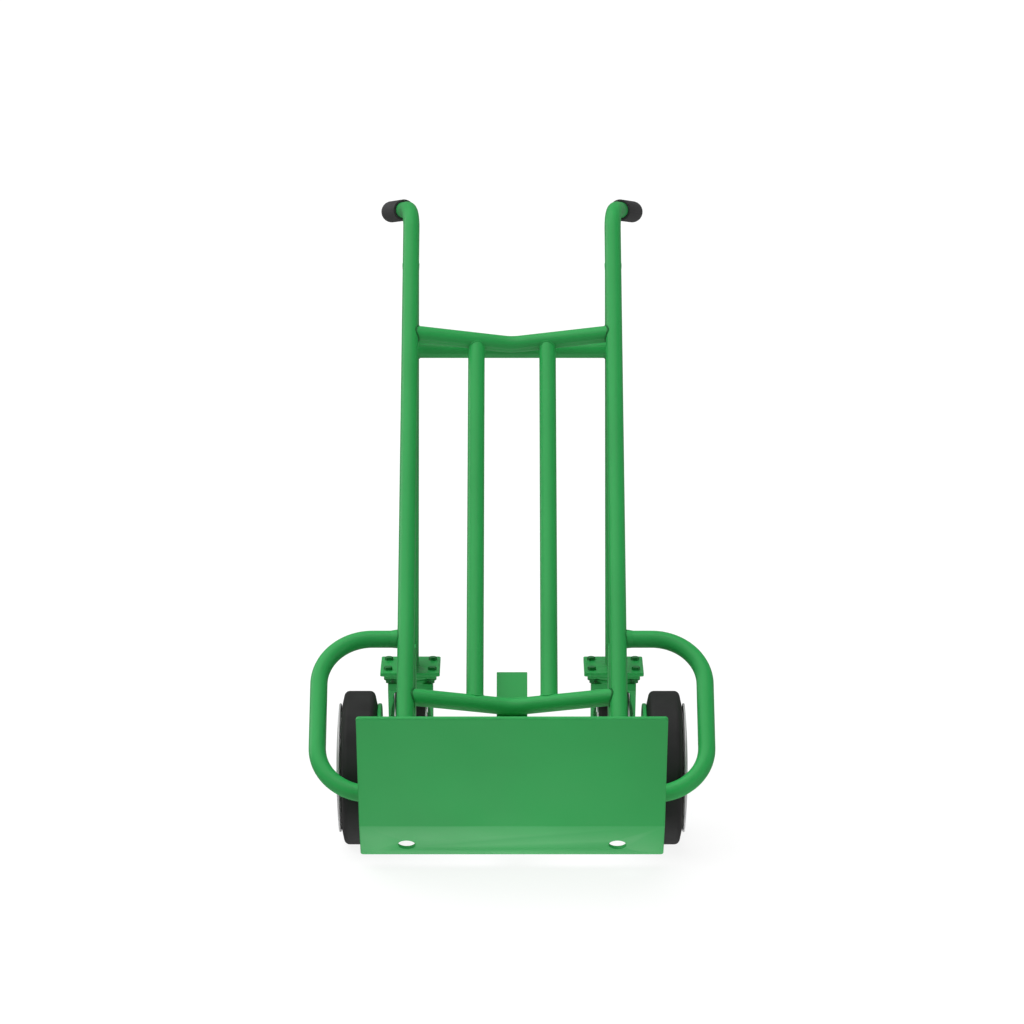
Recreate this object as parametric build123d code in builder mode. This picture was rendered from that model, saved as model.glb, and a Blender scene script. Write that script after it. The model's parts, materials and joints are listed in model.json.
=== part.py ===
from build123d import *
import os
from math import cos, radians, sin, sqrt, tan

os.makedirs("parts", exist_ok=True)

# Bag and box truck, leaning back on its two main wheels and two swivel casters.
# Sizes are in millimetres and degrees. X runs across the truck, Y towards its handles
# and Z up from the floor. The origin is on the floor, in the middle of the truck.
# Left and right are as the person at the handles sees them.

# Stance of the frame on its axle, measured from the nose plate's top face at the rails
frame_lean = 45.0
axle_up_rail = 171.9
axle_behind_rail = 109.7

# Round tube of the welded frame
tube_diameter = 28.6
tube_wall = 2.1
weld_gap = 0.4

# Side rails, whose bent tops are the handles
rail_spacing = 351.3
rail_length = 1227.6
handle_turn = 56.0
handle_flare = 11.7
handle_bend_radius = 76.0
handle_length = 194.0

# Hand grips
grip_length = 127.0
grip_wall = 4.7
grip_end_wall = 6.0
grip_end_round = 7.0
grip_clearance = 0.05

# Curved cross tubes, slat tubes and the straight cross tube behind them
upper_cross_height = 967.0
lower_cross_height = 246.2
cross_end_setback = 2.2
cross_slope = 11.5
cross_bend_radius = 70.0
slat_spacing = 122.6
slat_end_setback = 2.2
rear_cross_height = 982.2
rear_cross_setback = 76.3

# Nose plate
nose_width = 494.0
nose_thickness = 6.35
nose_heel = 80.8
nose_flat = 97.1
nose_blade = 251.8
nose_tilt = 13.8
nose_bend_radius = 6.0
nose_corner_radius = 5.0
nose_hole_diameter = 28.0
nose_hole_spacing = 343.0
nose_hole_setback = 33.0

# Centre strap behind the lower cross tube
strap_width = 50.8
strap_thickness = 6.35
strap_height = 321.0

# Axle brackets on the rails' inner sides, and the braces behind them
bracket_thickness = 6.35
bracket_lap = 4.0
bracket_bottom = 90.0
bracket_top = 343.0
bracket_front = 8.0
bracket_depth = 30.0
bracket_boss_radius = 30.0
brace_thickness = 6.35
brace_width = 38.1
brace_start = 30.0

# Main wheels
wheel_diameter = 254.0
wheel_offset = 75.85
tyre_width = 58.0
tyre_crown_width = 37.0
tyre_corner_radius = 5.5
tyre_base_width = 54.0
tyre_shoulder_height = 10.0
rim_seat_diameter = 188.0
rim_wall = 6.0
rim_side_gap = 0.5
rim_flange_diameter = 213.0
rim_flange_thickness = 6.8
rim_flange_round = 2.0
rim_web_thickness = 6.0
rim_web_inset = 4.5
hub_inboard = 29.0
hub_outboard = 23.0
hub_wall = 7.8
cover_edge_height = 4.4
cover_lip = 2.9
cover_dome = 4.8
cover_thickness = 2.5
guard_gap = 13.9
guard_top_setback = 9.0
guard_wheel_gap = 13.8
guard_above_axle = 187.2
guard_bend_radius = 87.0

# Main axle and what it carries
axle_diameter = 19.05
axle_tail = 2.4
bearing_diameter = 44.45
bearing_width = 12.7
bearing_shoulder = 4.0
spacer_wall = 4.5
washer_diameter = 34.0
washer_thickness = 2.0
ring_thickness = 1.6
ring_width = 4.5
ring_opening = 8.0
groove_depth = 0.9
running_clearance = 0.05
fit_clearance = 0.02
hole_clearance = 0.15
end_play = 0.4

# Caster mount plates on the rear legs
caster_setback = 403.0
mount_plate_length = 114.3
mount_plate_width = 102.6
mount_plate_thickness = 6.35
mount_plate_round = 4.0

# Casters, from the floor up
caster_wheel_diameter = 152.4
caster_trail = 41.0
tread_width = 50.8
tread_thickness = 12.2
tread_round = 6.0
core_proud = 2.6
core_rim_thickness = 9.0
core_web_thickness = 12.0
core_hub_wall = 8.0
core_edge_round = 1.5
roller_thickness = 6.3
roller_length = 56.0
sleeve_diameter = 19.05
caster_bolt_diameter = 12.7
caster_bolt_head_flats = 19.05
caster_bolt_head_height = 8.0
caster_nut_height = 11.0
caster_bolt_tail = 3.0
fork_side_gap = 1.0
fork_hub_gap = 0.5
fork_wall = 9.5
fork_lip = 4.0
fork_depth = 72.0
fork_boss_radius = 20.0
fork_crown_thickness = 11.5
fork_wheel_clearance = 8.1
fork_slot_round = 14.0
fork_mouth_depth = 66.0
fork_arch_foot = 103.0
fork_arch_rise = 62.0
race_diameter = 83.0
race_thickness = 6.55
race_gap = 0.4
ball_diameter = 6.35
ball_ring_diameter = 66.0
ball_count = 18
ball_clearance = 0.06
kingpin_diameter = 16.0
kingpin_head_diameter = 24.0
kingpin_head_height = 3.5
kingpin_nut_flats = 24.0
kingpin_nut_height = 9.0
kingpin_tail = 2.0
kingpin_seat_depth = 7.0
kingpin_seat_margin = 2.0
caster_plate_length = 105.0
caster_plate_width = 90.0
caster_plate_thickness = 5.0

# Bolts that hold the casters to their mount plates
bolt_diameter = 7.94
bolt_spacing_x = 76.2
bolt_spacing_y = 66.7
bolt_head_flats = 12.7
bolt_head_height = 5.5
bolt_nut_height = 7.0
bolt_tail = 5.0

# Sizes that follow from the driving dimensions
tube_radius = tube_diameter / 2
tube_bore = tube_radius - tube_wall
cope_radius = tube_radius + weld_gap
rail_x = rail_spacing / 2
wheel_radius = wheel_diameter / 2
wheel_x = rail_x + wheel_offset
tyre_side = tyre_width / 2
rim_seat = rim_seat_diameter / 2
rim_edge = tyre_side + rim_side_gap
rim_inboard = rim_edge + rim_flange_thickness
cover_crown = rim_edge + cover_edge_height + cover_dome
guard_x = wheel_x + cover_crown + guard_gap + tube_radius
grip_radius = tube_radius + grip_wall
grip_reach = handle_length + grip_end_wall
caster_crown_bottom = caster_wheel_diameter + fork_wheel_clearance
caster_crown_top = caster_crown_bottom + fork_crown_thickness
lower_race_top = caster_crown_top + race_thickness
upper_race_bottom = lower_race_top + race_gap
caster_plate_bottom = upper_race_bottom + race_thickness
caster_plate_top = caster_plate_bottom + caster_plate_thickness
mount_plate_top = caster_plate_top + mount_plate_thickness
core_width = tread_width + 2 * core_proud
fork_inside = core_width / 2 + fork_side_gap
fork_outside = fork_inside + fork_wall
fork_mouth = fork_outside - fork_lip

# Directions: up along the rails, and square to them towards the load
lean = radians(frame_lean)
along = Vector(0, sin(lean), cos(lean))
ahead = Vector(0, -cos(lean), sin(lean))
across = Vector(1, 0, 0)


def handle_way(side):
    """Direction of a handle, bent back from its rail and flared outwards."""
    turn = radians(handle_turn)
    flare = radians(handle_flare)
    return across * (side * sin(flare)) + (along * cos(turn) - ahead * sin(turn)) * cos(flare)


# Reach of the nose tip and of the grips from the axle, which puts the origin midway
tilt = radians(nose_tilt)
foot_from_axle = ahead * axle_behind_rail - along * axle_up_rail
nose_bend_ahead = nose_flat - nose_heel
nose_tip_ahead = nose_bend_ahead + nose_blade * cos(tilt)
nose_tip_up = nose_blade * sin(tilt) - nose_thickness
nose_tip_from_axle = foot_from_axle + ahead * nose_tip_ahead + along * nose_tip_up
grip_end_from_axle = foot_from_axle + along * rail_length + handle_way(1) * grip_reach
grip_back_way = handle_way(1).Y
grip_back = (
    grip_end_from_axle.Y
    - grip_end_round * grip_back_way
    + (grip_radius - grip_end_round) * sqrt(1 - grip_back_way**2)
    + grip_end_round
)
axle_y = -(nose_tip_from_axle.Y + grip_back) / 2
axle_centre = Vector(0, axle_y, wheel_radius)
rail_foot = axle_centre + foot_from_axle
caster_y = axle_y + caster_setback
sides = ((1, "left"), (-1, "right"))
on_base = (Align.CENTER, Align.CENTER, Align.MIN)


def on_frame(x, up, front):
    """Point of the leaning frame: x across, up along the rails, front ahead of them."""
    return rail_foot + across * x + along * up + ahead * front


# Axes of the rails and rear legs, which other tubes are coped to
rail_planes = [Plane(on_frame(side * rail_x, 0, 0), z_dir=along) for side, hand in sides]
leg_foot = Vector(0, caster_y, mount_plate_top)
leg_way = (on_frame(0, rear_cross_height, -rear_cross_setback) - leg_foot).normalized()
leg_length = (rail_foot - leg_foot).dot(ahead) / leg_way.dot(ahead)
leg_below = leg_foot - leg_way * tube_diameter
leg_bar = leg_length + tube_diameter
leg_planes = [Plane(leg_below + across * (side * rail_x), z_dir=leg_way) for side, hand in sides]
cross_drop = rail_x * tan(radians(cross_slope))
cross_half = sqrt(rail_x**2 + cross_drop**2)
cross_corner = cross_end_setback + cross_drop
cross_middle = cross_corner - cross_bend_radius * (1 / cos(radians(cross_slope)) - 1)


def cross_plane(side, height):
    """Plane at a rail, facing along one half of a curved cross tube to its middle."""
    rail_end = on_frame(side * rail_x, height, -cross_end_setback)
    return Plane(rail_end, z_dir=on_frame(0, height, -cross_corner) - rail_end)


# Side rails
for side, hand in sides:
    rail_corner = on_frame(side * rail_x, rail_length, 0)
    with BuildPart() as rail:
        with BuildLine():
            FilletPolyline(
                on_frame(side * rail_x, 0, 0),
                rail_corner,
                rail_corner + handle_way(side) * handle_length,
                radius=handle_bend_radius,
            )
        with BuildSketch(Plane(on_frame(side * rail_x, 0, 0), z_dir=along)):
            Circle(tube_radius)
            Circle(tube_bore, mode=Mode.SUBTRACT)
        sweep()
    rail.part.label = f"{hand}_rail"
    export_step(rail.part, f"parts/{hand}_rail.step")

# Hand grips, closed over the ends of the handles
for side, hand in sides:
    way = handle_way(side)
    grip_start = on_frame(side * rail_x, rail_length, 0) + way * (grip_reach - grip_length)
    with BuildPart() as grip:
        with BuildSketch(Plane(grip_start, z_dir=way)):
            Circle(grip_radius)
        extrude(amount=grip_length)
        fillet(grip.edges().sort_by(Axis(grip_start, way))[-1], grip_end_round)
        with BuildSketch(Plane(grip_start, z_dir=way)):
            Circle(tube_radius + grip_clearance)
        extrude(amount=grip_length - grip_end_wall, mode=Mode.SUBTRACT)
    grip.part.label = f"{hand}_grip"
    export_step(grip.part, f"parts/{hand}_grip.step")

# Curved cross tubes, set back in the middle and coped to the rails
for level, height in (("upper", upper_cross_height), ("lower", lower_cross_height)):
    with BuildPart() as cross_tube:
        with BuildLine():
            FilletPolyline(
                on_frame(-rail_x, height, -cross_end_setback),
                on_frame(0, height, -cross_corner),
                on_frame(rail_x, height, -cross_end_setback),
                radius=cross_bend_radius,
            )
        with BuildSketch(cross_plane(-1, height)):
            Circle(tube_radius)
            Circle(tube_bore, mode=Mode.SUBTRACT)
        sweep()
        with Locations(*rail_planes):
            Cylinder(cope_radius, rail_length, align=on_base, mode=Mode.SUBTRACT)
    cross_tube.part.label = f"{level}_cross_tube"
    export_step(cross_tube.part, f"parts/{level}_cross_tube.step")

# Slat tubes, coped between the curved cross tubes
slat_x = slat_spacing / 2
slat_setback = cross_corner - cross_drop * slat_x / rail_x + slat_end_setback
for side, hand in sides:
    with BuildPart() as slat:
        with BuildSketch(Plane(on_frame(side * slat_x, lower_cross_height, -slat_setback), z_dir=along)):
            Circle(tube_radius)
            Circle(tube_bore, mode=Mode.SUBTRACT)
        extrude(amount=upper_cross_height - lower_cross_height)
        with Locations(cross_plane(side, lower_cross_height), cross_plane(side, upper_cross_height)):
            Cylinder(cope_radius, cross_half, align=on_base, mode=Mode.SUBTRACT)
    slat.part.label = f"{hand}_slat_tube"
    export_step(slat.part, f"parts/{hand}_slat_tube.step")

# Straight cross tube between the rear legs
with BuildPart() as rear_cross_tube:
    with BuildSketch(Plane(on_frame(-rail_x, rear_cross_height, -rear_cross_setback), z_dir=across)):
        Circle(tube_radius)
        Circle(tube_bore, mode=Mode.SUBTRACT)
    extrude(amount=rail_spacing)
    with Locations(*leg_planes):
        Cylinder(cope_radius, leg_bar, align=on_base, mode=Mode.SUBTRACT)
rear_cross_tube.part.label = "rear_cross_tube"
export_step(rear_cross_tube.part, "parts/rear_cross_tube.step")

# Rear legs, from the caster mount plates up to the backs of the rails
for side, hand in sides:
    with BuildPart() as leg:
        with BuildSketch(Plane(leg_below + across * (side * rail_x), z_dir=leg_way)):
            Circle(tube_radius)
            Circle(tube_bore, mode=Mode.SUBTRACT)
        extrude(amount=leg_bar)
        split(bisect_by=Plane.XY.offset(mount_plate_top), keep=Keep.TOP)
        with Locations(*rail_planes):
            Cylinder(cope_radius, rail_length, align=on_base, mode=Mode.SUBTRACT)
    leg.part.label = f"{hand}_rear_leg"
    export_step(leg.part, f"parts/{hand}_rear_leg.step")

# Wheel guards, bent loops outside the rails, a little behind them at the top
guard_below_axle = sqrt((wheel_radius + tube_radius + guard_wheel_gap) ** 2 - axle_behind_rail**2)
guard_top = axle_up_rail + guard_above_axle
guard_bottom = axle_up_rail - guard_below_axle
for side, hand in sides:
    with BuildPart() as guard:
        with BuildLine():
            FilletPolyline(
                on_frame(side * rail_x, guard_top, -guard_top_setback),
                on_frame(side * guard_x, guard_top, -guard_top_setback),
                on_frame(side * guard_x, guard_bottom, 0),
                on_frame(side * rail_x, guard_bottom, 0),
                radius=guard_bend_radius,
            )
        with BuildSketch(Plane(on_frame(side * rail_x, guard_top, -guard_top_setback), z_dir=across * side)):
            Circle(tube_radius)
            Circle(tube_bore, mode=Mode.SUBTRACT)
        sweep()
        with Locations(*rail_planes):
            Cylinder(cope_radius, rail_length, align=on_base, mode=Mode.SUBTRACT)
    guard.part.label = f"{hand}_wheel_guard"
    export_step(guard.part, f"parts/{hand}_wheel_guard.step")

# Nose plate: a flat heel under the rails and a blade bent up in front of them
nose_side = Plane(on_frame(-nose_width / 2, 0, 0), x_dir=along, z_dir=across)
bend_shift = nose_thickness * tan(tilt / 2)
blade_top_up = nose_tip_up + nose_thickness * cos(tilt)
blade_top_ahead = nose_tip_ahead - nose_thickness * sin(tilt)
with BuildPart() as nose_plate:
    with BuildSketch(nose_side) as nose_profile:
        with BuildLine():
            Polyline(
                (-nose_thickness, -nose_heel),
                (-nose_thickness, nose_bend_ahead),
                (nose_tip_up, nose_tip_ahead),
                (blade_top_up, blade_top_ahead),
                (0, nose_bend_ahead - bend_shift),
                (0, -nose_heel),
                close=True,
            )
        make_face()
        bend_vertices = nose_profile.vertices().sort_by(Axis.Y)[2:4].sort_by(Axis.X)
        fillet(bend_vertices[0], nose_bend_radius + nose_thickness)
        fillet(bend_vertices[1], nose_bend_radius)
    extrude(amount=nose_width)
    blade_normal = along * cos(tilt) - ahead * sin(tilt)
    heel_corners = nose_plate.edges().filter_by(Axis(rail_foot, along))
    blade_corners = nose_plate.edges().filter_by(Axis(rail_foot, blade_normal))
    fillet(heel_corners + blade_corners, nose_corner_radius)
    hole_ahead = nose_hole_setback - nose_heel
    with Locations(*[Plane(on_frame(x, 0, hole_ahead), z_dir=along)
                     for x in (-nose_hole_spacing / 2, nose_hole_spacing / 2)]):
        Hole(nose_hole_diameter / 2)
nose_plate.part.label = "nose_plate"
export_step(nose_plate.part, "parts/nose_plate.step")

# Centre strap, standing on the heel of the nose plate
strap_setback = cross_middle + tube_radius + weld_gap + strap_thickness / 2
with BuildPart() as centre_strap:
    with BuildSketch(Plane(on_frame(0, 0, -strap_setback), x_dir=across, z_dir=along)):
        Rectangle(strap_width, strap_thickness)
    extrude(amount=strap_height)
centre_strap.part.label = "centre_strap"
export_step(centre_strap.part, "parts/centre_strap.step")

# Axle brackets, lapped into the rails' inner sides and notched for the lower cross tube
bracket_outer = rail_x - tube_radius + bracket_lap
bracket_inner = bracket_outer - bracket_thickness
axle_hole_radius = axle_diameter / 2 + hole_clearance
bracket_middle_up = (bracket_bottom + bracket_top) / 2
bracket_middle_ahead = -bracket_front - bracket_depth / 2
for side, hand in sides:
    bracket_side = Plane(on_frame(side * bracket_inner, 0, 0), x_dir=along, z_dir=across)
    with BuildPart() as bracket:
        with BuildSketch(bracket_side):
            with Locations((axle_up_rail, -axle_behind_rail)):
                Circle(bracket_boss_radius)
            with Locations((bracket_middle_up, bracket_middle_ahead)):
                Rectangle(bracket_top - bracket_bottom, bracket_depth)
            make_hull()
            with Locations((axle_up_rail, -axle_behind_rail)):
                Circle(axle_hole_radius, mode=Mode.SUBTRACT)
        extrude(amount=side * bracket_thickness)
        with Locations(*rail_planes):
            Cylinder(cope_radius, rail_length, align=on_base, mode=Mode.SUBTRACT)
        with Locations(cross_plane(side, lower_cross_height)):
            Cylinder(cope_radius, cross_half, align=on_base, mode=Mode.SUBTRACT)
    bracket.part.label = f"{hand}_axle_bracket"
    export_step(bracket.part, f"parts/{hand}_axle_bracket.step")

# Side braces, flat bars on edge from the brackets over the mount plates to the legs
brace_middle = bracket_outer + brace_thickness / 2
brace_length = caster_setback - brace_start
for side, hand in sides:
    with BuildPart() as brace:
        with Locations((side * brace_middle, caster_y - brace_length / 2, mount_plate_top)):
            Box(brace_thickness, brace_length, brace_width, align=on_base)
        with Locations(*leg_planes):
            Cylinder(cope_radius, leg_bar, align=on_base, mode=Mode.SUBTRACT)
    brace.part.label = f"{hand}_side_brace"
    export_step(brace.part, f"parts/{hand}_side_brace.step")

# Main axle, with a groove near each end for its retaining ring
axle_radius = axle_diameter / 2
hub_inner_x = wheel_x - hub_inboard
hub_outer_x = wheel_x + hub_outboard
inner_washer_x = hub_inner_x - end_play - washer_thickness
outer_washer_x = hub_outer_x + end_play
ring_x = outer_washer_x + washer_thickness
axle_end = ring_x + ring_thickness + axle_tail
axle_line = Axis(axle_centre, across)
axle_section = Plane(axle_centre, x_dir=across, z_dir=(0, -1, 0))
with BuildPart() as axle:
    with BuildSketch(axle_section):
        with Locations((0, axle_radius / 2)):
            Rectangle(2 * axle_end, axle_radius)
        with Locations(*[(side * (ring_x + ring_thickness / 2), axle_radius) for side, hand in sides]):
            Rectangle(ring_thickness, 2 * groove_depth, mode=Mode.SUBTRACT)
    revolve(axis=axle_line)
    chamfer(axle.edges().filter_by(GeomType.CIRCLE).group_by(Axis.X)[0], groove_depth)
    chamfer(axle.edges().filter_by(GeomType.CIRCLE).group_by(Axis.X)[-1], groove_depth)
axle.part.label = "axle"
export_step(axle.part, "parts/axle.step")


def axle_plane(x):
    """Plane square to the main axle at x."""
    return Plane((x, axle_y, wheel_radius), x_dir=(0, 1, 0), z_dir=across)


# Spacer tubes between the brackets and the wheels
spacer_length = inner_washer_x - bracket_outer
with BuildPart() as axle_spacers:
    for side, hand in sides:
        with BuildSketch(axle_plane(side * bracket_outer)):
            Circle(axle_hole_radius + spacer_wall)
            Circle(axle_hole_radius, mode=Mode.SUBTRACT)
        extrude(amount=side * spacer_length)
axle_spacers.part.label = "axle_spacers"
export_step(axle_spacers.part, "parts/axle_spacers.step")

# Washers on both sides of each wheel
with BuildPart() as axle_washers:
    for side, hand in sides:
        for washer_x in (inner_washer_x, outer_washer_x):
            with BuildSketch(axle_plane(side * washer_x)):
                Circle(washer_diameter / 2)
                Circle(axle_hole_radius, mode=Mode.SUBTRACT)
            extrude(amount=side * washer_thickness)
axle_washers.part.label = "axle_washers"
export_step(axle_washers.part, "parts/axle_washers.step")

# Retaining rings, open at the bottom, in the axle's grooves
ring_bore = axle_radius - groove_depth + hole_clearance
with BuildPart() as retaining_rings:
    for side, hand in sides:
        with BuildSketch(axle_plane(side * ring_x)):
            Circle(ring_bore + ring_width)
            Circle(ring_bore, mode=Mode.SUBTRACT)
            with Locations((0, -ring_bore - ring_width / 2)):
                Rectangle(ring_opening, 2 * ring_width, mode=Mode.SUBTRACT)
        extrude(amount=side * ring_thickness)
retaining_rings.part.label = "retaining_rings"
export_step(retaining_rings.part, "parts/retaining_rings.step")

# Main wheels: tyre, rim with its hub, domed cover and bearings
bearing_radius = bearing_diameter / 2
hub_bore = bearing_radius + fit_clearance
hub_radius = hub_bore + hub_wall
shoulder_radius = hub_bore - bearing_shoulder
rim_flange = rim_flange_diameter / 2
tyre_seat = rim_seat + fit_clearance
for side, hand in sides:
    wheel_section = Plane((side * wheel_x, axle_y, wheel_radius), x_dir=across * side, z_dir=(0, -side, 0))

    with BuildPart() as tyre:
        with BuildSketch(wheel_section) as tyre_profile:
            with BuildLine():
                Polyline(
                    (-tyre_base_width / 2, tyre_seat),
                    (-tyre_side, tyre_seat + tyre_shoulder_height),
                    (-tyre_crown_width / 2 - tyre_corner_radius, wheel_radius),
                    (tyre_crown_width / 2 + tyre_corner_radius, wheel_radius),
                    (tyre_side, tyre_seat + tyre_shoulder_height),
                    (tyre_base_width / 2, tyre_seat),
                    close=True,
                )
            make_face()
            fillet(tyre_profile.vertices().group_by(Axis.Y)[-1], tyre_corner_radius)
        revolve(axis=axle_line)
    tyre.part.label = f"{hand}_tyre"
    export_step(tyre.part, f"parts/{hand}_tyre.step")

    with BuildPart() as rim:
        with BuildSketch(wheel_section) as rim_profile:
            with BuildLine():
                Polyline(
                    (-hub_inboard, hub_bore),
                    (-hub_inboard, hub_radius),
                    (rim_web_inset - rim_web_thickness / 2, hub_radius),
                    (rim_web_inset - rim_web_thickness / 2, rim_seat - rim_wall),
                    (-rim_inboard, rim_seat - rim_wall),
                    (-rim_inboard, rim_flange),
                    (-rim_edge, rim_flange),
                    (-rim_edge, rim_seat),
                    (rim_edge, rim_seat),
                    (rim_edge, rim_seat - rim_wall),
                    (rim_web_inset + rim_web_thickness / 2, rim_seat - rim_wall),
                    (rim_web_inset + rim_web_thickness / 2, hub_radius),
                    (hub_outboard, hub_radius),
                    (hub_outboard, hub_bore),
                    (hub_outboard - bearing_width, hub_bore),
                    (hub_outboard - bearing_width, shoulder_radius),
                    (-hub_inboard + bearing_width, shoulder_radius),
                    (-hub_inboard + bearing_width, hub_bore),
                    close=True,
                )
            make_face()
            fillet(rim_profile.vertices().group_by(Axis.Y)[-1], rim_flange_round)
        revolve(axis=axle_line)
    rim.part.label = f"{hand}_rim"
    export_step(rim.part, f"parts/{hand}_rim.step")

    cover_edge = rim_edge + cover_edge_height
    with BuildPart() as rim_cover:
        with BuildSketch(wheel_section):
            with BuildLine():
                TangentArc((cover_crown, 0), (cover_edge, rim_flange), tangent=(0, 1))
                Polyline(
                    (cover_edge, rim_flange),
                    (cover_edge - cover_lip, rim_flange),
                    (cover_edge - cover_lip, rim_seat),
                    (rim_edge, rim_seat),
                    (rim_edge, rim_seat - rim_wall),
                    (cover_edge - cover_thickness, rim_seat - rim_wall),
                )
                TangentArc(
                    (cover_crown - cover_thickness, 0),
                    (cover_edge - cover_thickness, rim_seat - rim_wall),
                    tangent=(0, 1),
                )
                Line((cover_crown - cover_thickness, 0), (cover_crown, 0))
            make_face()
        revolve(axis=axle_line)
    rim_cover.part.label = f"{hand}_rim_cover"
    export_step(rim_cover.part, f"parts/{hand}_rim_cover.step")

    with BuildPart() as wheel_bearings:
        for bearing_x in (hub_inner_x, hub_outer_x - bearing_width):
            with BuildSketch(axle_plane(side * bearing_x)):
                Circle(bearing_radius)
                Circle(axle_radius + running_clearance, mode=Mode.SUBTRACT)
            extrude(amount=side * bearing_width)
    wheel_bearings.part.label = f"{hand}_wheel_bearings"
    export_step(wheel_bearings.part, f"parts/{hand}_wheel_bearings.step")

# Caster mount plates, drilled for the caster bolts
bolt_hole_radius = bolt_diameter / 2 + hole_clearance
for side, hand in sides:
    with BuildPart() as mount_plate:
        with BuildSketch(Plane((side * rail_x, caster_y, caster_plate_top))):
            RectangleRounded(mount_plate_width, mount_plate_length, mount_plate_round)
            with GridLocations(bolt_spacing_x, bolt_spacing_y, 2, 2):
                Circle(bolt_hole_radius, mode=Mode.SUBTRACT)
        extrude(amount=mount_plate_thickness)
    mount_plate.part.label = f"{hand}_caster_mount_plate"
    export_step(mount_plate.part, f"parts/{hand}_caster_mount_plate.step")

# Caster bolts and nuts, four to a caster
with BuildPart() as caster_bolts:
    for side, hand in sides:
        with BuildSketch(Plane((side * rail_x, caster_y, mount_plate_top))):
            with GridLocations(bolt_spacing_x, bolt_spacing_y, 2, 2):
                RegularPolygon(bolt_head_flats / 2, 6, major_radius=False)
        extrude(amount=bolt_head_height)
        with BuildSketch(Plane((side * rail_x, caster_y, mount_plate_top))):
            with GridLocations(bolt_spacing_x, bolt_spacing_y, 2, 2):
                Circle(bolt_diameter / 2)
        extrude(amount=caster_plate_bottom - bolt_nut_height - bolt_tail - mount_plate_top)
caster_bolts.part.label = "caster_bolts"
export_step(caster_bolts.part, "parts/caster_bolts.step")

with BuildPart() as caster_nuts:
    for side, hand in sides:
        with BuildSketch(Plane((side * rail_x, caster_y, caster_plate_bottom))):
            with GridLocations(bolt_spacing_x, bolt_spacing_y, 2, 2):
                RegularPolygon(bolt_head_flats / 2, 6, major_radius=False)
                Circle(bolt_diameter / 2 + fit_clearance, mode=Mode.SUBTRACT)
        extrude(amount=-bolt_nut_height)
caster_nuts.part.label = "caster_nuts"
export_step(caster_nuts.part, "parts/caster_nuts.step")

# Casters: plate, kingpin and balls above, fork and wheel below
ball_ring = ball_ring_diameter / 2
ball_height = lower_race_top + race_gap / 2
groove_radius = ball_diameter / 2 + ball_clearance
kingpin_radius = kingpin_diameter / 2
kingpin_hole = kingpin_radius + running_clearance
kingpin_seat = caster_crown_bottom + kingpin_seat_depth
kingpin_nut_top = kingpin_seat - end_play
kingpin_end = kingpin_nut_top - kingpin_nut_height - kingpin_tail
kingpin_nut_corner = kingpin_nut_flats / sqrt(3)
caster_wheel_radius = caster_wheel_diameter / 2
caster_bolt_radius = caster_bolt_diameter / 2
caster_bolt_hole = caster_bolt_radius + hole_clearance
sleeve_radius = sleeve_diameter / 2
roller_bore = sleeve_radius + running_clearance
core_bore = roller_bore + roller_thickness + fit_clearance
core_radius = caster_wheel_radius - tread_thickness
core_hub = fork_inside - fork_hub_gap
caster_axle_y = caster_y + caster_trail
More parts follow.
